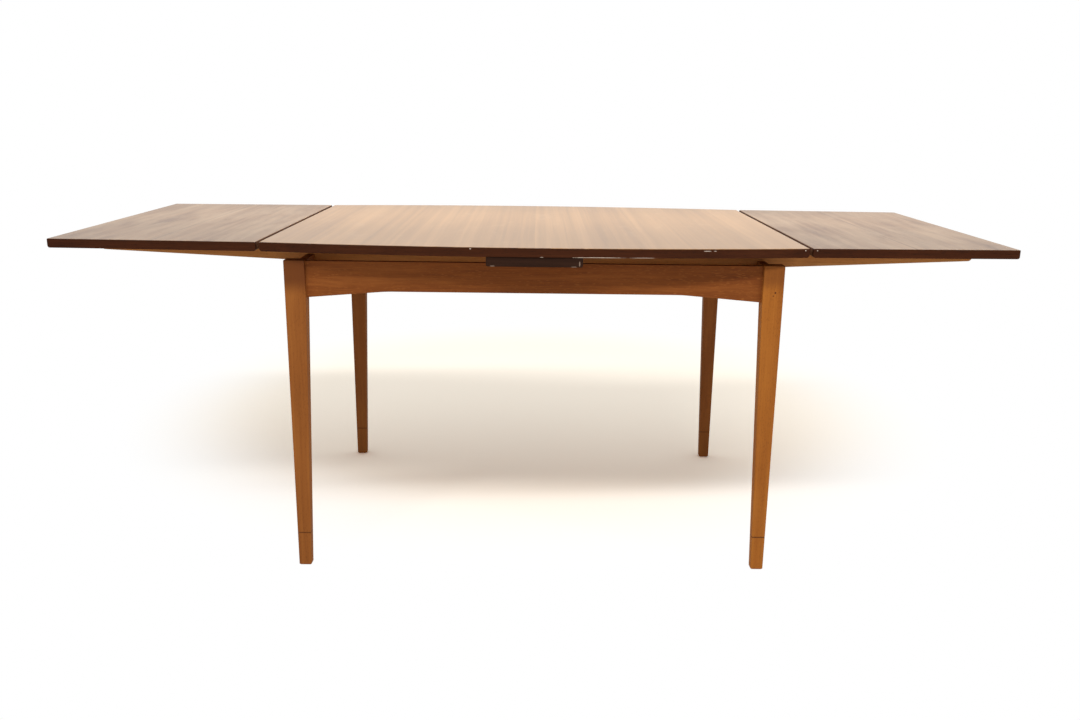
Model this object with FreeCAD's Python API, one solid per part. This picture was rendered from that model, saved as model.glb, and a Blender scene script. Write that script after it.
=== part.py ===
import FreeCAD, Part
import math
import os

Vector = FreeCAD.Vector
os.makedirs("parts", exist_ok=True)

# A draw leaf table, drawn out, in millimetres.
# The origin is on the floor under the middle, +X runs along the table, the front is at -Y.

# Boards: the loose top and the two leaves are equally thick
top_height = 740.0
board_thickness = 19.5
veneer = 0.8
lipping = 10.0
top_length = 1150.0
top_depth_middle = 864.0
top_bow = 41.0
leaf_narrowing = 15.0
joint_gap = 8.0
top_end_rounding = 6.0
leaf_joint_rounding = 3.0
leaf_lower_rounding = 5.0
end_easing = 2.0
edge_easing = 1.0

# The slot where a leaf is stored, beside the fixed centre board
leaf_play = 0.4
leaf_stored_room = 35.0
centre_board_width = 200.0
centre_board_setback = 3.0
centre_board_rounding = 4.0

# Plain pegs that locate the loose top on the centre board
peg_radius = 10.0
peg_play = 0.5
peg_spacing = 400.0
peg_in_top = 10.0
peg_short_of_bearer = 2.0

# Legs and their spliced feet
frame_end_setback = 45.5
frame_side_setback = 11.0
leg_top_width = 44.0
leg_top_depth = 33.0
leg_foot_width = 27.5
leg_foot_depth = 21.0
leg_easing = 1.5
leg_clear_of_leaf = 0.3
leg_block_below_apron = 8.0
foot_height = 80.0
foot_chamfer = 2.5
splice_chamfer = 0.6
dowel_radius = 5.0
dowel_length = 44.0

# Aprons along the long sides, and rails across the ends that stand further in
apron_thickness = 17.0
apron_recess = 10.0
apron_step = 2.0
apron_height = 64.0
apron_shoulder_drop = 14.0
apron_shoulder_length = 169.5
apron_break_rounding = 300.0
apron_easing = 1.0
end_rail_recess = 25.0
tenon_length = 15.0
end_tenon_length = 6.0
tenon_thickness = 10.0
tenon_top_shoulder = 8.0
tenon_height = 44.0
tenon_end_room = 0.5

# The bearer across the middle, which carries the centre board and has slots for the lopers
bearer_thickness = 30.0
bearer_height = 60.0
bearer_housing = 6.0

# Lopers: two sloping bearers under each leaf, side by side with those of the other leaf
loper_depth = 33.5
loper_width = 20.0
loper_from_apron = 57.0
loper_spacing = 6.0
loper_play = 0.4
loper_end_room = 10.0
loper_outer_inset = 65.0
loper_nose_rounding = 9.0
stop_length = 20.0
stop_height = 12.0
stop_inset = 2.0
stop_gap = 0.2

# Glue blocks behind the legs
corner_block_reach = 50.0
corner_block_height = 14.0
corner_block_room = 5.0

# Wood screws with slotted heads
screw_shank_radius = 2.0
screw_head_radius = 4.0
screw_head_height = 2.5
screw_slot_width = 0.8
screw_slot_depth = 1.0
screw_hole_play = 0.1
screw_recess = 0.5
leaf_screw_first = 60.0
leaf_screw_last = 68.0
leaf_screw_count = 3
leaf_screw_bite = 11.0
board_screw_inner = 100.0
board_screw_outer = 320.0
board_screw_bite = 20.0
block_screw_bite = 18.0

# How close counts as level when edges are picked, and how far a cut runs past the board it trims
nearly = 0.01
cutting_run = 15.0

# Outlines in plan
top_depth_ends = top_depth_middle - 2 * top_bow
leaf_length = (top_length - centre_board_width) / 2 - leaf_stored_room
leaf_depth_outer = top_depth_ends - 2 * leaf_narrowing
frame_length = top_length - 2 * frame_end_setback
frame_depth = top_depth_ends - 2 * frame_side_setback

# Levels
board_under = top_height - board_thickness
centre_board_thickness = board_thickness + 2 * leaf_play
bearing_level = board_under - centre_board_thickness
leg_top = bearing_level - leg_clear_of_leaf
apron_top = leg_top - apron_step
apron_bottom = apron_top - apron_height
apron_end_bottom = apron_bottom - apron_shoulder_drop
leg_taper_start = apron_end_bottom - leg_block_below_apron

# Half sizes of the frame
leg_outer_x = frame_length / 2
leg_outer_y = frame_depth / 2
leg_inner_x = leg_outer_x - leg_top_width
leg_inner_y = leg_outer_y - leg_top_depth
apron_inner_y = leg_outer_y - apron_recess - apron_thickness
end_rail_inner_x = leg_outer_x - end_rail_recess - apron_thickness

# A leaf's way in: one joint gap and its own length inwards, one board and a little play down
leaf_inner_x = top_length / 2 + joint_gap
leaf_outer_x = leaf_inner_x + leaf_length
leaf_travel = leaf_length + joint_gap
leaf_drop = board_thickness + leaf_play
leaf_slope = leaf_drop / leaf_travel

# The lopers' two bands, measured from the middle line, and their ends
loper_outer_y = apron_inner_y - loper_from_apron
outer_band = (loper_outer_y - loper_width, loper_outer_y)
inner_band_outer_y = outer_band[0] - loper_spacing
inner_band = (inner_band_outer_y - loper_width, inner_band_outer_y)
loper_inner_x = leaf_travel + loper_end_room - end_rail_inner_x
loper_outer_x = leaf_outer_x - loper_outer_inset


def box(x0, x1, y0, y1, z0, z1):
    return Part.makeBox(x1 - x0, y1 - y0, z1 - z0, Vector(x0, y0, z0))


def rounded_wire(corners, place):
    """A closed outline from corners (u, v, radius), laid in space by place(u, v)."""
    count = len(corners)
    starts = []
    arcs = []
    ends = []
    for i, (u, v, radius) in enumerate(corners):
        corner = Vector(u, v, 0)
        to_last = Vector(corners[i - 1][0], corners[i - 1][1], 0) - corner
        to_next = Vector(corners[(i + 1) % count][0], corners[(i + 1) % count][1], 0) - corner
        to_last.normalize()
        to_next.normalize()
        half_angle = to_last.getAngle(to_next) / 2
        inward = to_last + to_next
        inward.normalize()
        tangent = radius / math.tan(half_angle)
        centre = corner + inward * (radius / math.sin(half_angle))
        starts.append(corner + to_last * tangent)
        arcs.append(centre - inward * radius)
        ends.append(corner + to_next * tangent)
    edges = []
    for i in range(count):
        here = [place(point.x, point.y) for point in (starts[i], arcs[i], ends[i])]
        following = starts[(i + 1) % count]
        if corners[i][2] > 0:
            edges.append(Part.Arc(here[0], here[1], here[2]).toShape())
        edges.append(Part.LineSegment(here[2], place(following.x, following.y)).toShape())
    return Part.Wire(edges)


def extrude(wire, direction):
    return Part.Face(wire).extrude(direction)


def prism_along_y(corners, y0, y1):
    """A solid whose X-Z outline is the same from y0 to y1."""
    wire = rounded_wire(corners, lambda u, v: Vector(u, y0, v))
    return extrude(wire, Vector(0, y1 - y0, 0))


def prism_along_x(corners, x0, x1):
    """A solid whose Y-Z outline is the same from x0 to x1."""
    wire = rounded_wire(corners, lambda u, v: Vector(x0, u, v))
    return extrude(wire, Vector(x1 - x0, 0, 0))


def half_turn(shape):
    """The same piece on the opposite corner or leaf."""
    turned = shape.copy()
    turned.rotate(Vector(0, 0, 0), Vector(0, 0, 1), 180)
    return turned


def flip_x(shape):
    return shape.mirror(Vector(0, 0, 0), Vector(1, 0, 0))


def flip_y(shape):
    return shape.mirror(Vector(0, 0, 0), Vector(0, 1, 0))


def joined(shapes):
    return shapes[0].fuse(shapes[1:]).removeSplitter()


def pointed(shape, point, direction):
    """A shape made along +Z from the origin, moved to start at a point and run in a direction."""
    moved = shape.copy()
    moved.Placement = FreeCAD.Placement(point, FreeCAD.Rotation(Vector(0, 0, 1), direction))
    return moved


def screw(point, direction, length):
    """A slotted screw whose head starts at a point."""
    head = Part.makeCylinder(screw_head_radius, screw_head_height)
    shank_start = Vector(0, 0, screw_head_height)
    shank = Part.makeCylinder(screw_shank_radius, length - screw_head_height, shank_start)
    half_slot = screw_slot_width / 2
    slot = box(-screw_head_radius, screw_head_radius, -half_slot, half_slot, 0, screw_slot_depth)
    return pointed(head.fuse(shank).removeSplitter().cut(slot), point, direction)


def screw_hole(point, direction, length, way_in):
    """The hole of that screw, with its way in for the head."""
    head = Part.makeCylinder(
        screw_head_radius + screw_hole_play, screw_head_height + way_in, Vector(0, 0, -way_in))
    shank = Part.makeCylinder(screw_shank_radius + screw_hole_play, length + screw_hole_play)
    return pointed(head.fuse(shank), point, direction)


def top_outline(inset, z):
    """The bowed long edges of the top, drawn in by an inset and running on past its ends."""
    half = top_length / 2
    bow_radius = (half * half + top_bow * top_bow) / (2 * top_bow) - inset
    middle_y = top_depth_middle / 2 - inset
    x = half + cutting_run
    end_y = middle_y - bow_radius + math.sqrt(bow_radius * bow_radius - x * x)
    corners = [Vector(-x, -end_y, z), Vector(x, -end_y, z), Vector(x, end_y, z), Vector(-x, end_y, z)]
    return Part.Wire([
        Part.Arc(corners[0], Vector(0, -middle_y, z), corners[1]).toShape(),
        Part.LineSegment(corners[1], corners[2]).toShape(),
        Part.Arc(corners[2], Vector(0, middle_y, z), corners[3]).toShape(),
        Part.LineSegment(corners[3], corners[0]).toShape(),
    ])


def leaf_outline(inset, z):
    """The right leaf's converging long edges, drawn in by an inset and running on past its ends."""
    run_narrowing = cutting_run * leaf_narrowing / leaf_length
    inner_y = top_depth_ends / 2 - inset + run_narrowing
    outer_y = leaf_depth_outer / 2 - inset - run_narrowing
    inner_x = leaf_inner_x - cutting_run
    outer_x = leaf_outer_x + cutting_run
    return Part.makePolygon([
        Vector(inner_x, -inner_y, z),
        Vector(outer_x, -outer_y, z),
        Vector(outer_x, outer_y, z),
        Vector(inner_x, inner_y, z),
        Vector(inner_x, -inner_y, z),
    ])


def board_pieces(outline, x0, x1, roundings):
    """A board's face veneer, panel and lippings; the roundings of its ends start at the lower left."""
    reach = top_depth_middle
    profile = [
        (x0, board_under, roundings[0]),
        (x1, board_under, roundings[1]),
        (x1, top_height, roundings[2]),
        (x0, top_height, roundings[3]),
    ]
    plate = extrude(outline(0, board_under), Vector(0, 0, board_thickness))
    long_edges = [edge for z in (board_under, top_height) for edge in edges_at(plate, z)]
    long_edges = [edge for edge in long_edges if abs(edge.CenterOfMass.y) > nearly]
    blank = plate.makeFillet(edge_easing, long_edges).common(prism_along_y(profile, -reach, reach))

    low = board_under - cutting_run
    high = top_height + cutting_run
    left = x0 - cutting_run
    right = x1 + cutting_run
    veneer_bottom = top_height - veneer
    ground = blank.common(box(left, right, -reach, reach, low, veneer_bottom))
    middle = extrude(outline(lipping, low), Vector(0, 0, high - low))
    long_lippings = sorted(ground.cut(middle).Solids, key=lambda solid: solid.CenterOfMass.y)
    strip = ground.common(middle)
    return {
        "veneer": blank.common(box(left, right, -reach, reach, veneer_bottom, high)),
        "panel": strip.common(box(x0 + lipping, x1 - lipping, -reach, reach, low, high)),
        "front": long_lippings[0],
        "back": long_lippings[1],
        "low_x": strip.common(box(left, x0 + lipping, -reach, reach, low, high)),
        "high_x": strip.common(box(x1 - lipping, right, -reach, reach, low, high)),
    }


def loper_line(x):
    """Height of the right lopers' upper line, which passes through the leaf's inner lower edge."""
    return board_under - (leaf_inner_x - x) * leaf_slope


def right_bands():
    """The Y bands of the right leaf's front and back lopers."""
    return [(-outer_band[1], -outer_band[0]), inner_band]


def loper(band):
    corners = [
        (loper_inner_x, loper_line(loper_inner_x) - loper_depth, 0),
        (loper_outer_x, loper_line(loper_outer_x) - loper_depth, loper_nose_rounding),
        (loper_outer_x, board_under, 0),
        (leaf_inner_x, board_under, 0),
        (loper_inner_x, loper_line(loper_inner_x), 0),
    ]
    return prism_along_y(corners, band[0], band[1])


def loper_passage(band):
    """The straight way in which a right loper slides, with its play."""
    far = frame_length
    low = loper_depth + loper_play
    corners = [
        (-far, loper_line(-far) - low, 0),
        (far, loper_line(far) - low, 0),
        (far, loper_line(far) + loper_play, 0),
        (-far, loper_line(-far) + loper_play, 0),
    ]
    return prism_along_y(corners, band[0] - loper_play, band[1] + loper_play)


def loper_stop(band):
    """The block under a right loper that meets the end rail when the leaf is drawn out."""
    x1 = end_rail_inner_x - stop_gap
    x0 = x1 - stop_length
    high0 = loper_line(x0) - loper_depth
    high1 = loper_line(x1) - loper_depth
    corners = [(x0, high0 - stop_height, 0), (x1, high1 - stop_height, 0), (x1, high1, 0), (x0, high0, 0)]
    return prism_along_y(corners, band[0] + stop_inset, band[1] - stop_inset)


def leaf_screw_points():
    """Head point and length of each screw that holds the right lopers to the leaf."""
    first = leaf_inner_x + leaf_screw_first
    pitch = (loper_outer_x - leaf_screw_last - first) / (leaf_screw_count - 1)
    points = []
    for band in right_bands():
        for i in range(leaf_screw_count):
            x = first + i * pitch
            z = loper_line(x) - loper_depth + screw_recess + leaf_slope * screw_head_radius
            points.append((Vector(x, (band[0] + band[1]) / 2, z), board_under + leaf_screw_bite - z))
    return points


def board_screw_points():
    """Head points of the screws from the centre board into the bearer."""
    z = board_under - screw_recess
    places = (-board_screw_outer, -board_screw_inner, board_screw_inner, board_screw_outer)
    return [Vector(0, y, z) for y in places]


def peg_points():
    return [Vector(0, -peg_spacing / 2, 0), Vector(0, peg_spacing / 2, 0)]


def leg_size_at(z):
    """Width and depth of a leg, which tapers on its inner sides from under the aprons down."""
    share = min(z / leg_taper_start, 1)
    width = leg_foot_width + (leg_top_width - leg_foot_width) * share
    depth = leg_foot_depth + (leg_top_depth - leg_foot_depth) * share
    return width, depth


def leg_section(z, inset=0):
    """A leg's section at the front right corner: its outer faces stay upright."""
    width, depth = leg_size_at(z)
    x0 = leg_outer_x - width + inset
    x1 = leg_outer_x - inset
    y0 = -leg_outer_y + inset
    y1 = -leg_outer_y + depth - inset
    corners = [(x0, y0, leg_easing), (x1, y0, leg_easing), (x1, y1, leg_easing), (x0, y1, leg_easing)]
    return rounded_wire(corners, lambda u, v: Vector(u, v, z))


def edges_at(shape, z):
    """The edges that lie level at one height."""
    boxes = [(edge, edge.BoundBox) for edge in shape.Edges]
    return [edge for edge, size in boxes if abs(size.ZMin - z) < nearly and abs(size.ZMax - z) < nearly]


def tenon_levels():
    high = apron_top - tenon_top_shoulder
    return high - tenon_height, high


def apron_tenon(room):
    """The front apron's right tenon, or with some room its mortise."""
    low, high = tenon_levels()
    middle = -(apron_inner_y + apron_thickness / 2)
    half = tenon_thickness / 2
    return box(leg_inner_x, leg_inner_x + tenon_length + room, middle - half, middle + half, low, high)


def end_rail_tenon(room):
    """The right end rail's front tenon, or with some room its mortise."""
    low, high = tenon_levels()
    middle = end_rail_inner_x + apron_thickness / 2
    half = tenon_thickness / 2
    reach = end_tenon_length + room
    return box(middle - half, middle + half, -leg_inner_y - reach, -leg_inner_y, low, high)


def foot_dowel():
    width, depth = leg_size_at(foot_height)
    base = Vector(leg_outer_x - width / 2, -leg_outer_y + depth / 2, foot_height - dowel_length / 2)
    return Part.makeCylinder(dowel_radius, dowel_length, base)


def block_levels():
    """The corner blocks stay below the lopers' lowest passage."""
    stored_end = loper_line(loper_inner_x - leaf_travel) - loper_depth
    high = stored_end - corner_block_room
    return high - corner_block_height, high


def block_screw_place():
    """Head point and direction of the screw through the front right corner block into the leg."""
    low, high = block_levels()
    apron_end = Vector(leg_inner_x - corner_block_reach, -apron_inner_y, 0)
    rail_end = Vector(end_rail_inner_x, -leg_inner_y + corner_block_reach, 0)
    middle = (apron_end + rail_end) / 2
    apron_corner = Vector(leg_inner_x, -apron_inner_y, 0)
    rail_corner = Vector(end_rail_inner_x, -leg_inner_y, 0)
    direction = (apron_corner + rail_corner) / 2 - middle
    depth = direction.Length
    direction.normalize()
    head = middle + direction * screw_recess
    return Vector(head.x, head.y, (low + high) / 2), direction, depth


def lofted(sections):
    """Straight lofts from each section to the next."""
    return joined([Part.makeLoft([low, high], True, True) for low, high in zip(sections, sections[1:])])


def leg():
    splice_end = foot_height + splice_chamfer
    shape = lofted([
        leg_section(foot_height, splice_chamfer),
        leg_section(splice_end),
        leg_section(leg_taper_start),
        leg_section(leg_top),
    ])
    point, direction, depth = block_screw_place()
    hole = screw_hole(point, direction, depth + block_screw_bite, 0)
    return shape.cut([apron_tenon(tenon_end_room), end_rail_tenon(tenon_end_room), foot_dowel(), hole])


def foot():
    splice_start = foot_height - splice_chamfer
    shape = lofted([
        leg_section(0, foot_chamfer),
        leg_section(foot_chamfer),
        leg_section(splice_start),
        leg_section(foot_height, splice_chamfer),
    ])
    return shape.cut(foot_dowel())


def apron_outline(half_length):
    """A rail's face: level below in the middle, deeper towards the legs."""
    level = half_length - apron_shoulder_length
    return [
        (-half_length, apron_end_bottom, 0),
        (-level, apron_bottom, apron_break_rounding),
        (level, apron_bottom, apron_break_rounding),
        (half_length, apron_end_bottom, 0),
        (half_length, apron_top, 0),
        (-half_length, apron_top, 0),
    ]


def eased_below(shape):
    """Rounds the long lower edges of an apron or end rail."""
    low = [edge for edge in shape.Edges if edge.BoundBox.ZMax < apron_bottom + nearly]
    long_ones = [edge for edge in low if edge.Length > apron_thickness + nearly]
    return shape.makeFillet(apron_easing, long_ones)


def front_apron():
    outer = -(apron_inner_y + apron_thickness)
    board = eased_below(prism_along_y(apron_outline(leg_inner_x), outer, -apron_inner_y))
    tenon = apron_tenon(0)
    shape = joined([board, tenon, flip_x(tenon)])
    return shape.cut(bearer_blank())


def right_end_rail():
    outer_x = end_rail_inner_x + apron_thickness
    board = prism_along_x(apron_outline(leg_inner_y), end_rail_inner_x, outer_x)
    tenon = end_rail_tenon(0)
    shape = joined([eased_below(board), tenon, flip_y(tenon)])
    return shape.cut([loper_passage(band) for band in right_bands()])


def bearer_blank():
    """The bearer before its slots are cut; its ends are housed in the aprons."""
    half = apron_inner_y + bearer_housing
    half_bearer = bearer_thickness / 2
    return box(-half_bearer, half_bearer, -half, half, bearing_level - bearer_height, bearing_level)


def cross_bearer():
    passages = [loper_passage(band) for band in right_bands()]
    length = centre_board_thickness + board_screw_bite
    holes = [screw_hole(point, Vector(0, 0, -1), length, 0) for point in board_screw_points()]
    return bearer_blank().cut(passages + [half_turn(passage) for passage in passages] + holes)


def centre_board_parts():
    """The fixed board across the middle and its front edge strip."""
    half_width = centre_board_width / 2
    half_depth = top_depth_middle / 2 - centre_board_setback
    outline = [
        (-half_width, bearing_level, centre_board_rounding),
        (half_width, bearing_level, centre_board_rounding),
        (half_width, board_under, 0),
        (-half_width, board_under, 0),
    ]
    core = half_depth - lipping
    board = prism_along_y(outline, -core, core)
    hole = Part.makeCylinder(peg_radius + peg_play, centre_board_thickness, Vector(0, 0, bearing_level))
    holes = [pointed(hole, point, Vector(0, 0, 1)) for point in peg_points()]
    length = centre_board_thickness + board_screw_bite
    holes += [screw_hole(point, Vector(0, 0, -1), length, screw_recess) for point in board_screw_points()]
    edge = prism_along_y(outline, -half_depth, -core)
    front = [face for face in edge.Faces if abs(face.CenterOfMass.y + half_depth) < nearly]
    edge = edge.makeFillet(edge_easing, front[0].Edges)
    return board.cut(holes), edge


def corner_block():
    """The glue block in the front right corner, notched around the leg."""
    low, high = block_levels()
    start_x = leg_inner_x - corner_block_reach
    corners = [
        (start_x, -apron_inner_y, 0),
        (leg_inner_x, -apron_inner_y, 0),
        (leg_inner_x, -leg_inner_y, 0),
        (end_rail_inner_x, -leg_inner_y, 0),
        (end_rail_inner_x, -leg_inner_y + corner_block_reach, 0),
    ]
    wire = rounded_wire(corners, lambda u, v: Vector(u, v, low))
    shape = extrude(wire, Vector(0, 0, high - low))
    point, direction, depth = block_screw_place()
    return shape.cut(screw_hole(point, direction, depth + block_screw_bite, corner_block_reach))


def export(node, shape):
    print(node, "solids", len(shape.Solids), "valid", shape.isValid(), "volume", round(shape.Volume))
    shape.exportStep("parts/" + node + ".step")


def four_corners(shape):
    """A front right piece and its copies at the other three corners."""
    return {
        "front_right": shape,
        "front_left": flip_x(shape),
        "back_right": flip_y(shape),
        "back_left": half_turn(shape),
    }


def build_frame():
    for piece, shape in (("leg", leg()), ("foot", foot()), ("corner_block", corner_block())):
        for corner, placed in four_corners(shape).items():
            export(piece + "_" + corner, placed)
    export("foot_dowels", Part.Compound(list(four_corners(foot_dowel()).values())))
    point, direction, depth = block_screw_place()
    block_screw = screw(point, direction, depth + block_screw_bite)
    export("corner_block_screws", Part.Compound(list(four_corners(block_screw).values())))
    apron = front_apron()
    export("apron_front", apron)
    export("apron_back", half_turn(apron))
    end_rail = right_end_rail()
    export("end_rail_right", end_rail)
    export("end_rail_left", half_turn(end_rail))
    export("cross_bearer", cross_bearer())
    board, edge = centre_board_parts()
    export("centre_board", board)
    export("centre_board_edge_front", edge)
    export("centre_board_edge_back", half_turn(edge))
    length = centre_board_thickness + board_screw_bite
    screws = [screw(point, Vector(0, 0, -1), length) for point in board_screw_points()]
    export("centre_board_screws", Part.Compound(screws))


def build_top():
    half = top_length / 2
    roundings = [top_end_rounding, top_end_rounding, end_easing, end_easing]
    pieces = board_pieces(top_outline, -half, half, roundings)
    socket_top = board_under + peg_in_top
    peg_bottom = bearing_level + peg_short_of_bearer
    peg = Part.makeCylinder(peg_radius, socket_top - peg_bottom, Vector(0, 0, peg_bottom))
    pegs = [pointed(peg, point, Vector(0, 0, 1)) for point in peg_points()]
    export("top_veneer", pieces["veneer"])
    export("top_panel", pieces["panel"].cut(pegs))
    export("top_lipping_front", pieces["front"])
    export("top_lipping_back", pieces["back"])
    export("top_lipping_left", pieces["low_x"])
    export("top_lipping_right", pieces["high_x"])
    export("top_peg_front", pegs[0])
    export("top_peg_back", pegs[1])


def build_leaves():
    """The right leaf with its lopers, and the left leaf as the same unit turned round."""
    roundings = [leaf_lower_rounding, leaf_lower_rounding, end_easing, leaf_joint_rounding]
    pieces = board_pieces(leaf_outline, leaf_inner_x, leaf_outer_x, roundings)
    up = Vector(0, 0, 1)
    holes = [screw_hole(point, up, length, loper_depth) for point, length in leaf_screw_points()]
    screws = Part.Compound([screw(point, up, length) for point, length in leaf_screw_points()])
    front_band, back_band = right_bands()
    unit = {
        "veneer": pieces["veneer"],
        "panel": pieces["panel"].cut(holes),
        "lipping_inner": pieces["low_x"],
        "lipping_outer": pieces["high_x"],
        "screws": screws,
    }
    for piece, shape in unit.items():
        export("right_leaf_" + piece, shape)
        export("left_leaf_" + piece, half_turn(shape))
    sides = {
        "lipping": (pieces["front"], pieces["back"]),
        "loper": (loper(front_band).cut(holes), loper(back_band).cut(holes)),
        "loper_stop": (loper_stop(front_band), loper_stop(back_band)),
    }
    for piece, (front, back) in sides.items():
        export("right_leaf_" + piece + "_front", front)
        export("right_leaf_" + piece + "_back", back)
        export("left_leaf_" + piece + "_back", half_turn(front))
        export("left_leaf_" + piece + "_front", half_turn(back))


build_frame()
build_top()
build_leaves()
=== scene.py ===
import bmesh
import bpy
import math
from mathutils import Matrix

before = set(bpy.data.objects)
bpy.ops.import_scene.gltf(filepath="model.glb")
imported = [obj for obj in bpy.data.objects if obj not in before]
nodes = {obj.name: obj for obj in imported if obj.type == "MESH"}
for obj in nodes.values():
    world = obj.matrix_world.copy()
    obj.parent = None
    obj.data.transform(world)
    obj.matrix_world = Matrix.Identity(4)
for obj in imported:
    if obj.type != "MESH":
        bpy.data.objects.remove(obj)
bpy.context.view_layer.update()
perMetre = 1000  # millimetres


def linear(hexColour):
    channels = [int(hexColour[i:i + 2], 16) / 255 for i in (1, 3, 5)]
    return [c / 12.92 if c <= 0.04045 else ((c + 0.055) / 1.055) ** 2.4 for c in channels] + [1]


# Adds a node, sets its properties, and fills its inputs with a number or a link
def addNode(tree, kind, props=None, inputs=None):
    node = tree.nodes.new(kind)
    for name, value in (props or {}).items():
        setattr(node, name, value)
    for name, value in (inputs or {}).items():
        if isinstance(value, bpy.types.NodeSocket):
            tree.links.new(value, node.inputs[name])
        else:
            node.inputs[name].default_value = value
    return node


# Wood with its pattern on Object coordinates in millimetres, turned so that the grain runs along X.
# Pairs of sizes in a look are along the grain and across it, in millimetres.
grainTurn = {"x": (0, 0, 0), "y": (0, 0, -math.pi / 2), "z": (0, math.pi / 2, 0)}
woodDetail = {
    "poreTones": (0.35, 0.65), "poreReach": (0.42, 0.12),  # shade of the wood, and cells
    "poreRim": 0.12,
    "lineRange": (0.3, 0.7),  # where most of the noise of the fine lines lies
    "wornTurn": (0.995, 0.85),  # cosine between a face and its bevelled edge, unworn to worn
    "stainTurn": (0.55, 0.72),  # upward part of the normal, stained to plain
    "chipGrain": 0.35,  # per millimetre
    "chipRagged": 0.9, "chipRim": (1.45, 1.3),  # in half sizes of the chip
    "bumpHeight": 0.0004,  # metres
}


def woodMaterial(name, look):
    material = bpy.data.materials.new(name)
    material.use_nodes = True
    tree = material.node_tree
    tree.nodes.clear()
    out = addNode(tree, "ShaderNodeOutputMaterial")
    coords = addNode(tree, "ShaderNodeTexCoord")
    place = addNode(tree, "ShaderNodeMapping", None, {
        "Vector": coords.outputs["Object"], "Rotation": grainTurn[look["grain"]],
        "Scale": (perMetre, perMetre, perMetre)})
    sides = addNode(tree, "ShaderNodeSeparateXYZ", None, {0: place.outputs[0]})
    flat = place.outputs[0]
    tone = None

    # Sheets of veneer side by side, each second one turned over so that the figure mirrors
    sheets = look.get("sheets")
    if sheets:
        shifted = addNode(tree, "ShaderNodeMath", {"operation": "ADD"}, {
            0: sides.outputs[1], 1: sheets["start"]})
        mirrored = addNode(tree, "ShaderNodeMath", {"operation": "PINGPONG"}, {
            0: shifted.outputs[0], 1: sheets["width"]})
        counted = addNode(tree, "ShaderNodeMath", {"operation": "DIVIDE"}, {
            0: shifted.outputs[0], 1: sheets["width"]})
        sheet = addNode(tree, "ShaderNodeMath", {"operation": "FLOOR"}, {0: counted.outputs[0]})
        depth = addNode(tree, "ShaderNodeMath", {"operation": "MULTIPLY"}, {
            0: sheet.outputs[0], 1: sheets["cut"]})
        flat = addNode(tree, "ShaderNodeCombineXYZ", None, {
            0: sides.outputs[0], 1: mirrored.outputs[0], 2: depth.outputs[0]}).outputs[0]
        turned = addNode(tree, "ShaderNodeMath", {"operation": "FLOORED_MODULO"}, {
            0: sheet.outputs[0], 1: 2})
        chance = addNode(tree, "ShaderNodeTexWhiteNoise", {"noise_dimensions": "1D"}, {
            "W": sheet.outputs[0]})
        side = addNode(tree, "ShaderNodeMath", {"operation": "MULTIPLY_ADD"}, {
            0: turned.outputs[0], 1: sheets["tone"], 2: -sheets["tone"] / 2})
        tone = addNode(tree, "ShaderNodeMath", {"operation": "MULTIPLY_ADD"}, {
            0: chance.outputs[0], 1: sheets["chance"], 2: side.outputs[0]})
        inSheet = addNode(tree, "ShaderNodeMath", {"operation": "FRACT"}, {0: counted.outputs[0]})
        fromMiddle = addNode(tree, "ShaderNodeMath", {"operation": "SUBTRACT"}, {
            0: inSheet.outputs[0], 1: 0.5})
        fromMiddle = addNode(tree, "ShaderNodeMath", {"operation": "ABSOLUTE"}, {
            0: fromMiddle.outputs[0]})
        seam = addNode(tree, "ShaderNodeMapRange", None, {
            0: fromMiddle.outputs[0], 1: 0.5 - sheets["seam"] / sheets["width"], 2: 0.5,
            3: 0, 4: sheets["seamShade"]})

    # The streaks wander together, as growth rings do
    along, across, sway = look["wander"]
    wander = addNode(tree, "ShaderNodeVectorMath", {"operation": "MULTIPLY"}, {
        0: flat, 1: (1 / along, 1 / across, 1 / across)})
    wander = addNode(tree, "ShaderNodeTexNoise", None, {
        "Vector": wander.outputs[0], "Scale": 1, "Detail": 2})
    wander = addNode(tree, "ShaderNodeVectorMath", {"operation": "SUBTRACT"}, {
        0: wander.outputs[1], 1: (0.5, 0.5, 0.5)})
    bent = addNode(tree, "ShaderNodeVectorMath", {"operation": "MULTIPLY_ADD"}, {
        0: wander.outputs[0], 1: (0, sway, sway), 2: flat}).outputs[0]

    # Wide bands and fine lines follow the bent grain, and clouds of tone lie over both
    figure = {}
    for part, source, settings in (
            ("bands", bent, {"Detail": 4, "Roughness": 0.55}),
            ("lines", bent, {"Detail": 3, "Roughness": 0.6}),
            ("cloud", place.outputs[0], {"Detail": 3})):
        along, across = look[part]
        drawn = addNode(tree, "ShaderNodeVectorMath", {"operation": "MULTIPLY"}, {
            0: source, 1: (1 / along, 1 / across, 1 / across)})
        figure[part] = addNode(tree, "ShaderNodeTexNoise", None, dict(
            settings, Vector=drawn.outputs[0], Scale=1)).outputs[0]
    shade = addNode(tree, "ShaderNodeMix", None, {
        0: look["lineShare"], 2: figure["bands"], 3: figure["lines"]})
    shade = addNode(tree, "ShaderNodeMix", None, {
        0: look["cloudShare"], 2: shade.outputs[0], 3: figure["cloud"]}).outputs[0]
    if tone:
        shade = addNode(tree, "ShaderNodeMath", {"operation": "ADD"}, {
            0: shade, 1: tone.outputs[0]}).outputs[0]
    ramp = addNode(tree, "ShaderNodeValToRGB", None, {0: shade})
    ramp.color_ramp.elements[0].position = 0.5 - look["spread"]
    ramp.color_ramp.elements[0].color = linear(look["dark"])
    ramp.color_ramp.elements[1].position = 0.5 + look["spread"]
    ramp.color_ramp.elements[1].color = linear(look["light"])
    ramp.color_ramp.elements.new(0.5).color = linear(look["mid"])
    colour = ramp.outputs[0]

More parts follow.
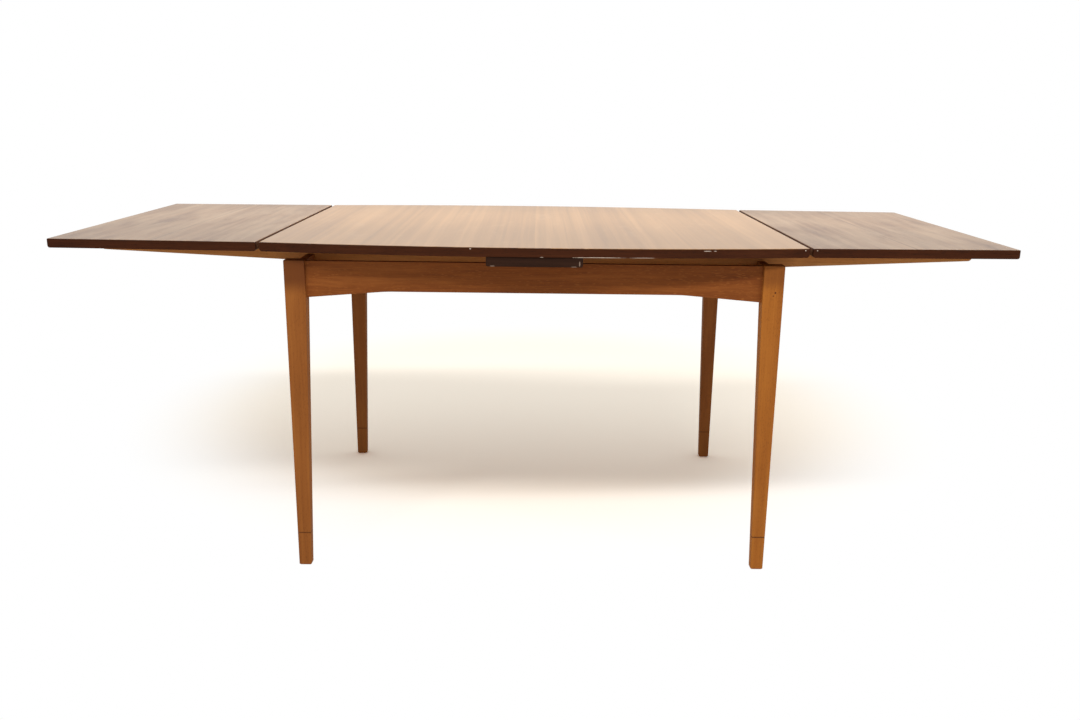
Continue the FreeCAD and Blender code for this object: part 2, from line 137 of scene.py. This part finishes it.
    # Open pores or flecks: one short dash in each cell, longer and wider where the wood is darker
    along, across = look["pores"]
    pores = addNode(tree, "ShaderNodeVectorMath", {"operation": "MULTIPLY"}, {
        0: bent, 1: (1 / along, 1 / across, 1 / across)})
    pores = addNode(tree, "ShaderNodeTexVoronoi", None, {"Vector": pores.outputs[0], "Scale": 1})
    poreTones = woodDetail["poreTones"]
    poreReach = woodDetail["poreReach"]
    reach = addNode(tree, "ShaderNodeMapRange", None, {
        0: shade, 1: poreTones[0], 2: poreTones[1], 3: poreReach[0], 4: poreReach[1]})
    pores = addNode(tree, "ShaderNodeMath", {"operation": "SUBTRACT"}, {
        0: reach.outputs[0], 1: pores.outputs[0]})
    pores = addNode(tree, "ShaderNodeMapRange", None, {
        0: pores.outputs[0], 1: 0, 2: woodDetail["poreRim"], 3: 0, 4: look["poreShade"]})
    colour = addNode(tree, "ShaderNodeMix", {"data_type": "RGBA"}, {
        0: pores.outputs[0], 6: colour, 7: linear(look["pore"])}).outputs[2]
    if sheets:
        colour = addNode(tree, "ShaderNodeMix", {"data_type": "RGBA"}, {
            0: seam.outputs[0], 6: colour, 7: linear(look["pore"])}).outputs[2]

    lineRange = woodDetail["lineRange"]
    roughness = addNode(tree, "ShaderNodeMapRange", None, {
        0: figure["lines"], 1: lineRange[0], 2: lineRange[1],
        3: look["roughness"][0], 4: look["roughness"][1]}).outputs[0]

    # Patches where the lacquer has been rubbed
    rubbed = look.get("rubbed")
    if rubbed:
        along, across = rubbed["size"]
        patch = addNode(tree, "ShaderNodeVectorMath", {"operation": "MULTIPLY"}, {
            0: place.outputs[0], 1: (1 / along, 1 / across, 1 / across)})
        patch = addNode(tree, "ShaderNodeTexNoise", None, {
            "Vector": patch.outputs[0], "Scale": 1,
            "Detail": 6, "Roughness": 0.7, "Distortion": 0.4})
        patch = addNode(tree, "ShaderNodeMapRange", None, {
            0: patch.outputs[0], 1: rubbed["from"], 2: rubbed["to"],
            3: 0, 4: rubbed["share"]}).outputs[0]
        colour = addNode(tree, "ShaderNodeMix", {"data_type": "RGBA"}, {
            0: patch, 6: colour, 7: linear(rubbed["colour"])}).outputs[2]
        roughness = addNode(
            tree, "ShaderNodeMath", {"operation": "MULTIPLY_ADD", "use_clamp": True}, {
                0: patch, 1: rubbed["dulling"], 2: roughness}).outputs[0]

    # Wear along the edges: where a wide bevel would turn the surface, the finish is thinner
    wear = look["wear"]
    wornTurn = woodDetail["wornTurn"]
    bevel = addNode(tree, "ShaderNodeBevel", {"samples": 6}, {"Radius": wear["width"] / perMetre})
    surface = addNode(tree, "ShaderNodeNewGeometry")
    turn = addNode(tree, "ShaderNodeVectorMath", {"operation": "DOT_PRODUCT"}, {
        0: bevel.outputs[0], 1: surface.outputs["Normal"]})
    edge = addNode(tree, "ShaderNodeMapRange", None, {
        0: turn.outputs["Value"], 1: wornTurn[0], 2: wornTurn[1], 3: 0, 4: 1})
    nicks = addNode(tree, "ShaderNodeTexNoise", None, {
        "Vector": place.outputs[0], "Scale": 1 / wear["nick"], "Detail": 4, "Roughness": 0.65})
    nicks = addNode(tree, "ShaderNodeMapRange", None, {
        0: nicks.outputs[0], 1: wear["from"], 2: wear["to"], 3: 0, 4: wear["share"]})
    worn = addNode(tree, "ShaderNodeMath", {"operation": "MULTIPLY"}, {
        0: edge.outputs[0], 1: nicks.outputs[0]})
    colour = addNode(tree, "ShaderNodeMix", {"data_type": "RGBA"}, {
        0: worn.outputs[0], 6: colour, 7: linear(wear["colour"])}).outputs[2]

    # The cut edge of a veneer takes the stain of the lipping under it
    if look.get("edgeStain"):
        stainTurn = woodDetail["stainTurn"]
        facing = addNode(tree, "ShaderNodeSeparateXYZ", None, {0: surface.outputs["Normal"]})
        stained = addNode(tree, "ShaderNodeMapRange", None, {
            0: facing.outputs[2], 1: stainTurn[0], 2: stainTurn[1], 3: 1, 4: 0})
        colour = addNode(tree, "ShaderNodeMix", {"data_type": "RGBA"}, {
            0: stained.outputs[0], 6: colour, 7: linear(look["edgeStain"])}).outputs[2]

    # Chips, each a small ragged ellipsoid (centre, half sizes) at its own place in the table
    if look.get("chips"):
        near = None
        for centre, half in look["chips"]:
            chip = addNode(tree, "ShaderNodeMapping", {"vector_type": "TEXTURE"}, {
                "Vector": coords.outputs["Object"], "Location": [c / perMetre for c in centre],
                "Scale": [h / perMetre for h in half]})
            chip = addNode(tree, "ShaderNodeVectorMath", {"operation": "LENGTH"}, {
                0: chip.outputs[0]}).outputs["Value"]
            if near:
                chip = addNode(tree, "ShaderNodeMath", {"operation": "MINIMUM"}, {
                    0: near, 1: chip}).outputs[0]
            near = chip
        chipRim = woodDetail["chipRim"]
        ragged = addNode(tree, "ShaderNodeTexNoise", None, {
            "Vector": place.outputs[0], "Scale": woodDetail["chipGrain"], "Detail": 3})
        near = addNode(tree, "ShaderNodeMath", {"operation": "MULTIPLY_ADD"}, {
            0: ragged.outputs[0], 1: woodDetail["chipRagged"], 2: near})
        near = addNode(tree, "ShaderNodeMapRange", None, {
            0: near.outputs[0], 1: chipRim[0], 2: chipRim[1], 3: 0, 4: 1})
        colour = addNode(tree, "ShaderNodeMix", {"data_type": "RGBA"}, {
            0: near.outputs[0], 6: colour, 7: linear(look["chip"])}).outputs[2]

    # Painted shadow: the wood is darker over a band of heights, standing in for the shadow that the
    # boards above cast on it
    paintedShadow = look.get("paintedShadow")
    if paintedShadow:
        shadowBand = addNode(tree, "ShaderNodeMapRange", {"interpolation_type": "SMOOTHSTEP"}, {
            0: sides.outputs[0], 1: paintedShadow["from"], 2: paintedShadow["to"], 3: 0, 4: paintedShadow["share"]})
        colour = addNode(tree, "ShaderNodeMix", {"data_type": "RGBA"}, {
            0: shadowBand.outputs[0], 6: colour, 7: linear(paintedShadow["colour"])}).outputs[2]

    # The glue line across a leg where its foot is joined on: its height and half its width
    if look.get("glueLine"):
        line = addNode(tree, "ShaderNodeMath", {"operation": "COMPARE"}, {
            0: sides.outputs[0], 1: look["glueLine"][0], 2: look["glueLine"][1]})
        colour = addNode(tree, "ShaderNodeMix", {"data_type": "RGBA"}, {
            0: line.outputs[0], 6: colour, 7: linear(look["pore"])}).outputs[2]

    height = addNode(tree, "ShaderNodeMath", {"operation": "SUBTRACT"}, {
        0: figure["lines"], 1: pores.outputs[0]})
    bump = addNode(tree, "ShaderNodeBump", None, {
        "Strength": look["bump"], "Distance": woodDetail["bumpHeight"],
        "Height": height.outputs[0]})
    shader = addNode(tree, "ShaderNodeBsdfPrincipled", None, {
        "Base Color": colour, "Roughness": roughness, "IOR": 1.5,
        "Specular IOR Level": look["specular"], "Normal": bump.outputs[0]})
    tree.links.new(shader.outputs[0], out.inputs[0])
    return material


# Puts a material on the named pieces, in their own slots
def dress(material, *names):
    for name in names:
        for slot in nodes[name].material_slots:
            slot.link = "OBJECT"
            slot.material = material


# Teak face veneer of the top: pale from daylight, sheets 120 mm wide, satin lacquer
topVeneer = {
    "grain": "y", "dark": "#9e7240", "mid": "#b2844e", "light": "#c3945d", "spread": 0.21,
    "sheets": {
        "width": 120, "start": 0, "cut": 7, "tone": 0.08, "chance": 0.05,
        "seam": 0.5, "seamShade": 0.2},
    "wander": (420, 60, 12), "bands": (1500, 16), "lines": (900, 4), "lineShare": 0.22,
    "cloud": (500, 160), "cloudShare": 0.25,
    "pores": (60, 2.6), "pore": "#7a4c2a", "poreShade": 0.06,  # the real ones are too fine to show
    "roughness": (0.28, 0.29), "bump": 0.02, "specular": 0.4, "edgeStain": "#401e0c",
    "rubbed": {
        "size": (90, 40), "from": 0.55, "to": 0.8, "share": 0.25,
        "colour": "#d9b893", "dulling": 0.02},
    "wear": {"width": 2.5, "nick": 14, "from": 0.45, "to": 0.65, "share": 0.4, "colour": "#d2b08a"},
}
dress(woodMaterial("teakVeneerFaded", topVeneer), "top_veneer")

# Teak face veneer of the leaves: kept in the dark, so browner, and rubbed pale under the top
leafVeneer = {
    "grain": "y", "dark": "#6d4e37", "mid": "#916e4e", "light": "#b08d6a", "spread": 0.18,
    "sheets": {  # laid out so that one joint runs through the middle of each leaf, 803 mm out
        "width": 1606 / 7, "start": 803, "cut": 9, "tone": 0.02, "chance": 0.05,
        "seam": 2.6, "seamShade": 0.9},
    "wander": (380, 80, 22), "bands": (500, 17), "lines": (200, 2.8), "lineShare": 0.4,
    "cloud": (300, 120), "cloudShare": 0.35,
    "pores": (40, 2.6), "pore": "#573a26", "poreShade": 0.3,
    "roughness": (0.35, 0.365), "bump": 0.02, "specular": 0.4, "edgeStain": "#401e0c",
    "rubbed": {
        "size": (260, 60), "from": 0.42, "to": 0.64, "share": 0.5,
        "colour": "#bb9f80", "dulling": 0.02},
    "wear": {
        "width": 2.5, "nick": 14, "from": 0.45, "to": 0.65, "share": 0.35, "colour": "#b79a7c"},
}
dress(woodMaterial("teakVeneerBrown", leafVeneer), "left_leaf_veneer", "right_leaf_veneer")

# Hardwood edge lippings under a nearly black red stain, with pale chips where it is knocked off
darkLipping = {
    "grain": "x", "dark": "#311608", "mid": "#401e0c", "light": "#502914", "spread": 0.2,
    "wander": (300, 40, 6), "bands": (400, 7), "lines": (150, 1.8), "lineShare": 0.5,
    "cloud": (220, 60), "cloudShare": 0.3,
    "pores": (20, 2.2), "pore": "#1c0d07", "poreShade": 0.5,
    "roughness": (0.5, 0.62), "bump": 0.15, "specular": 0.1,
    "wear": {"width": 2, "nick": 7, "from": 0.62, "to": 0.7, "share": 0.7, "colour": "#8a6a54"},
}
topFrontChips = [
    ((130, -429, 721), (60, 6, 0.95)), ((225, -426, 721), (28, 6, 0.7)),
    ((15, -432, 721), (3.5, 5, 0.7)), ((-132, -430, 736.6), (1.8, 5, 1)),
    ((357, -417, 735.4), (8, 5, 0.75)), ((373, -415, 735.6), (3, 5, 0.6)),
    ((566, -392, 735.6), (1.5, 5, 1.2)),
]
rightLeafChips = [((591, -390, 735.6), (1.5, 5, 1.2))]
dress(woodMaterial("stainedLippingAlongX", darkLipping), "top_lipping_back",
      "left_leaf_lipping_front", "left_leaf_lipping_back", "right_leaf_lipping_back")
dress(woodMaterial("stainedLippingChipped", dict(darkLipping, chips=topFrontChips, chip="#d8c8ba")),
      "top_lipping_front")
dress(woodMaterial("stainedLippingNicked", dict(darkLipping, chips=rightLeafChips, chip="#c9b8a8")),
      "right_leaf_lipping_front")
dress(woodMaterial("stainedLippingAlongY", dict(darkLipping, grain="y")),
      "top_lipping_left", "top_lipping_right",
      "left_leaf_lipping_outer", "right_leaf_lipping_outer")

# The leaves' inner lippings: painted paler than the other lippings, painted light in the shaded gap
# between leaf and top
innerLippingPaintedLight = dict(darkLipping, grain="y", dark="#573523", mid="#6d4832", light="#856045")
dress(woodMaterial("stainedLippingPaintedLight", innerLippingPaintedLight),
      "left_leaf_lipping_inner", "right_leaf_lipping_inner")

# The centre board's edge strips: the same stain, painted darker as painted shade under the top's
# overhang
centreEdgeShaded = dict(
    darkLipping, dark="#24130b", mid="#2d190f", light="#3a2318",
    chips=[
        ((-87, -429, 701.4), (5.5, 4, 0.9)), ((82, -429, 701.2), (6, 4, 0.8)),
        # the upright mark up the right end is a painted highlight on the end's arris; the two low
        # ones are chips
        ((93, -429, 708), (1.2, 4, 5.5))],
    chip="#8f7b6d")
dress(woodMaterial("stainedCentreEdgePaintedShade", centreEdgeShaded),
      "centre_board_edge_front", "centre_board_edge_back")

# Oiled teak of the aprons: orange brown, faint streaks and short pale flecks
apronTeak = {
    "grain": "x", "dark": "#6a320b", "mid": "#824516", "light": "#9d5b26", "spread": 0.2,
    "wander": (260, 40, 9), "bands": (260, 11), "lines": (45, 2.2), "lineShare": 0.5,
    "cloud": (260, 70), "cloudShare": 0.2,
    "pores": (15, 2.4), "pore": "#b06d32", "poreShade": 0.42,
    "roughness": (0.55, 0.68), "bump": 0.2, "specular": 0.2,
    "wear": {"width": 2.5, "nick": 16, "from": 0.42, "to": 0.65, "share": 0.4, "colour": "#b2743a"},
}
dress(woodMaterial("oiledTeakAlongX", apronTeak), "apron_front", "apron_back")
dress(woodMaterial("oiledTeakAlongY", dict(apronTeak, grain="y")),
      "end_rail_left", "end_rail_right")

# Stained beech of the legs: even orange brown with fine upright flecks
legBeech = {
    "grain": "z", "dark": "#7d4516", "mid": "#925522", "light": "#a4662c", "spread": 0.2,
    "wander": (400, 50, 6), "bands": (500, 12), "lines": (120, 2.4), "lineShare": 0.4,
    "cloud": (240, 60), "cloudShare": 0.4,
    "pores": (9, 2.2), "pore": "#6e3c12", "poreShade": 0.4,
    "roughness": (0.55, 0.66), "bump": 0.12, "specular": 0.2, "glueLine": (80, 1.4),
    # painted shadow of the boards above on the upper legs, darker from 640 mm up
    "paintedShadow": {"from": 640, "to": 672, "share": 0.55, "colour": "#6a3712"},
    "chips": [((512, -380, 643), (2, 3, 2.5)), ((508, -380, 636), (1.2, 3, 1.5))],
    "chip": "#5a2e10",
    "wear": {"width": 3, "nick": 18, "from": 0.4, "to": 0.65, "share": 0.45, "colour": "#b57d44"},
}
dress(woodMaterial("stainedBeech", legBeech), *[
    name for name in nodes if name.startswith(("leg_", "foot_")) and name != "foot_dowels"])
# Painted light and shade on the front legs: the left one painted darker, with a deeper painted
# shadow reaching lower, and the right one painted paler, for light that falls more strongly on the
# right
leftBeechShaded = dict(
    legBeech, dark="#834919", mid="#995a24", light="#ab6b2e",
    paintedShadow={"from": 620, "to": 662, "share": 0.9, "colour": "#6a3712"})
dress(woodMaterial("stainedBeechPaintedShade", leftBeechShaded), "leg_front_left", "foot_front_left")
rightBeechLit = dict(legBeech, dark="#945218", mid="#ab6623", light="#bd772d")
dress(woodMaterial("stainedBeechPaintedLight", rightBeechLit), "leg_front_right", "foot_front_right")

# Plain waxed beech of the sliding parts: pale yellow brown
runnerBeech = {
    "grain": "x", "dark": "#af7135", "mid": "#c48447", "light": "#d59b5e", "spread": 0.2,
    "wander": (400, 50, 5), "bands": (420, 10), "lines": (120, 2), "lineShare": 0.4,
    "cloud": (240, 60), "cloudShare": 0.3,
    "pores": (8, 2.2), "pore": "#8a5a2a", "poreShade": 0.45,
    "roughness": (0.52, 0.66), "bump": 0.15, "specular": 0.25,
    "rubbed": {
        "size": (60, 6), "from": 0.5, "to": 0.75, "share": 0.35,
        "colour": "#8a6236", "dulling": -0.1},
    "wear": {"width": 2, "nick": 16, "from": 0.4, "to": 0.65, "share": 0.4, "colour": "#d2aa74"},
}
dress(woodMaterial("waxedBeechAlongX", runnerBeech), *[name for name in nodes if "loper" in name])
dress(woodMaterial("waxedBeechAlongY", dict(runnerBeech, grain="y")), "cross_bearer", *[
    name for name in nodes if name.startswith("corner_block_") and name != "corner_block_screws"])
dress(woodMaterial("waxedBeechUpright", dict(runnerBeech, grain="z")),
      "top_peg_front", "top_peg_back", "foot_dowels")

# Backing veneer under the boards and on the centre board: plain brown, unpolished
backing = dict(
    apronTeak, grain="y", dark="#6e4527", mid="#83552f", light="#966740", pore="#4f260a",
    roughness=(0.6, 0.72),
    sheets={
        "width": 150, "start": 40, "cut": 8, "tone": 0.05, "chance": 0.05,
        "seam": 0.6, "seamShade": 0.4})
dress(woodMaterial("backingVeneer", backing),
      "top_panel", "left_leaf_panel", "right_leaf_panel", "centre_board")
print("wood finished")

# Bright steel wood screws, slightly dulled
screwLook = {
    "clean": "#8d8a84", "dull": "#5f5a52", "spot": 2.5, "spotRange": (0.3, 0.7),
    "roughness": (0.28, 0.5)}
steel = bpy.data.materials.new("dulledSteel")
steel.use_nodes = True
steelTree = steel.node_tree
steelTree.nodes.clear()
steelPlace = addNode(steelTree, "ShaderNodeTexCoord")
spots = addNode(steelTree, "ShaderNodeTexNoise", None, {
    "Vector": steelPlace.outputs["Object"], "Scale": perMetre / screwLook["spot"], "Detail": 4})
steelColour = addNode(steelTree, "ShaderNodeMix", {"data_type": "RGBA"}, {
    0: spots.outputs[0], 6: linear(screwLook["clean"]), 7: linear(screwLook["dull"])})
steelRough = addNode(steelTree, "ShaderNodeMapRange", None, {
    0: spots.outputs[0], 1: screwLook["spotRange"][0], 2: screwLook["spotRange"][1],
    3: screwLook["roughness"][0], 4: screwLook["roughness"][1]})
steelShader = addNode(steelTree, "ShaderNodeBsdfPrincipled", None, {
    "Base Color": steelColour.outputs[2], "Roughness": steelRough.outputs[0], "Metallic": 1})
addNode(steelTree, "ShaderNodeOutputMaterial", None, {0: steelShader.outputs[0]})
dress(steel, *[name for name in nodes if name.endswith("screws")])
print("screws finished")

# Pale painted floor. For the eye it is bright enough to be white where the lamps reach it, and it
# goes over into plain white away from the table; in the table's shadow it stays a warm grey.
# From below it lets the eye through to the table's underside.
floorLook = {
    "size": 40, "colour": "#e9e2d6", "seen": (1.7, 1.57, 1.37, 1),
    "shadowMiddle": (0, 0.9, 0), "shadowReach": (1.4, 1.3, 1), "clear": (0.6, 1)}
floorMesh = bpy.data.meshes.new("floor")
floorShape = bmesh.new()
bmesh.ops.create_grid(floorShape, x_segments=1, y_segments=1, size=floorLook["size"])
floorShape.to_mesh(floorMesh)
floorShape.free()
floor = bpy.data.objects.new("floor", floorMesh)
bpy.context.scene.collection.objects.link(floor)
floorPaint = bpy.data.materials.new("palePaint")
floorPaint.use_nodes = True
floorTree = floorPaint.node_tree
floorTree.nodes.clear()
rays = addNode(floorTree, "ShaderNodeLightPath")
floorColour = addNode(floorTree, "ShaderNodeMix", {"data_type": "RGBA"}, {
    0: rays.outputs["Is Camera Ray"], 6: linear(floorLook["colour"]), 7: floorLook["seen"]})
floorPlace = addNode(floorTree, "ShaderNodeTexCoord")
away = addNode(floorTree, "ShaderNodeMapping", {"vector_type": "TEXTURE"}, {
    "Vector": floorPlace.outputs["Object"], "Location": floorLook["shadowMiddle"],
    "Scale": floorLook["shadowReach"]})
away = addNode(floorTree, "ShaderNodeVectorMath", {"operation": "LENGTH"}, {0: away.outputs[0]})
lift = addNode(floorTree, "ShaderNodeMapRange", {"interpolation_type": "SMOOTHSTEP"}, {
    0: away.outputs["Value"], 1: floorLook["clear"][0], 2: floorLook["clear"][1], 3: 0, 4: 1})
lift = addNode(floorTree, "ShaderNodeMath", {"operation": "MULTIPLY"}, {
    0: lift.outputs[0], 1: rays.outputs["Is Camera Ray"]})
paint = addNode(floorTree, "ShaderNodeBsdfDiffuse", None, {"Color": floorColour.outputs[2]})
white = addNode(floorTree, "ShaderNodeEmission", None, {"Strength": 1})
floorMix = addNode(floorTree, "ShaderNodeMixShader", None, {
    0: lift.outputs[0], 1: paint.outputs[0], 2: white.outputs[0]})
floorSide = addNode(floorTree, "ShaderNodeNewGeometry")
unseen = addNode(floorTree, "ShaderNodeBsdfTransparent")
floorMix = addNode(floorTree, "ShaderNodeMixShader", None, {
    0: floorSide.outputs["Backfacing"], 1: floorMix.outputs[0], 2: unseen.outputs[0]})
addNode(floorTree, "ShaderNodeOutputMaterial", None, {0: floorMix.outputs[0]})
floorMesh.materials.append(floorPaint)

# White surroundings for the eye and in reflections, and an even soft light for everything else
worldLook = {"light": 0.53}
world = bpy.data.worlds.new("whiteRoom")
bpy.context.scene.world = world
world.use_nodes = True
worldTree = world.node_tree
worldTree.nodes.clear()
worldRays = addNode(worldTree, "ShaderNodeLightPath")
worldSeen = addNode(worldTree, "ShaderNodeMath", {"operation": "MAXIMUM"}, {
    0: worldRays.outputs["Is Camera Ray"], 1: worldRays.outputs["Is Glossy Ray"]})
worldSeen = addNode(worldTree, "ShaderNodeMath", {"operation": "MAXIMUM"}, {
    0: worldSeen.outputs[0], 1: worldRays.outputs["Is Transmission Ray"]})
worldStrength = addNode(worldTree, "ShaderNodeMapRange", None, {
    0: worldSeen.outputs[0], 1: 0, 2: 1, 3: worldLook["light"], 4: 1})
room = addNode(worldTree, "ShaderNodeBackground", None, {
    "Color": (1, 1, 1, 1), "Strength": worldStrength.outputs[0]})
addNode(worldTree, "ShaderNodeOutputWorld", None, {0: room.outputs[0]})

# A long strip light in front, and a gridded one over the back half of the top, kept off the floor
lampLooks = {
    "frontLight": {
        "place": (0.4, -1.75, 2.55), "aim": (0.1, 0, 0.6), "length": 4.2, "width": 0.2,
        "power": 52, "spread": 180, "offFloor": False},
    "overheadLight": {
        "place": (0.1, 0.2, 2.4), "aim": (0.1, 0.2, 0), "length": 2.4, "width": 0.3,
        "power": 2.4, "spread": 34, "offFloor": True},
}
for name, look in lampLooks.items():
    light = bpy.data.lights.new(name, "AREA")
    light.shape = "RECTANGLE"
    light.size = look["length"]
    light.size_y = look["width"]
    light.energy = look["power"]
    light.spread = math.radians(look["spread"])
    lamp = bpy.data.objects.new(name, light)
    lamp.location = look["place"]
    reach = [a - p for a, p in zip(look["aim"], look["place"])]
    tilt = math.atan2(math.hypot(reach[0], reach[1]), -reach[2])
    lamp.rotation_euler = (tilt, 0, math.atan2(-reach[0], reach[1]))
    bpy.context.scene.collection.objects.link(lamp)
    if look["offFloor"]:
        flagged = bpy.data.collections.new("offFloor")
        flagged.objects.link(floor)
        flagged.collection_objects[0].light_linking.link_state = "EXCLUDE"
        lamp.light_linking.receiver_collection = flagged
print("floor and light ready")

# Camera as in the photograph: a little above the top, straight in front of the table's middle
cameraLook = {
    "place": (0.00515, -2.40986, 1.02018), "yaw": -0.252, "pitch": -14.635, "roll": 0.728,
    "focalPixels": 971, "widthPixels": 1080, "sensor": 36}
lens = bpy.data.cameras.new("camera")
lens.sensor_width = cameraLook["sensor"]
lens.lens = cameraLook["focalPixels"] / cameraLook["widthPixels"] * cameraLook["sensor"]
camera = bpy.data.objects.new("camera", lens)
camera.matrix_world = (
    Matrix.Translation(cameraLook["place"])
    @ Matrix.Rotation(math.radians(cameraLook["yaw"]), 4, "Z")
    @ Matrix.Rotation(math.radians(90 + cameraLook["pitch"]), 4, "X")
    @ Matrix.Rotation(math.radians(cameraLook["roll"]), 4, "Z"))
bpy.context.scene.collection.objects.link(camera)
bpy.context.scene.camera = camera
bpy.context.scene.view_settings.view_transform = "Standard"
print("camera set")
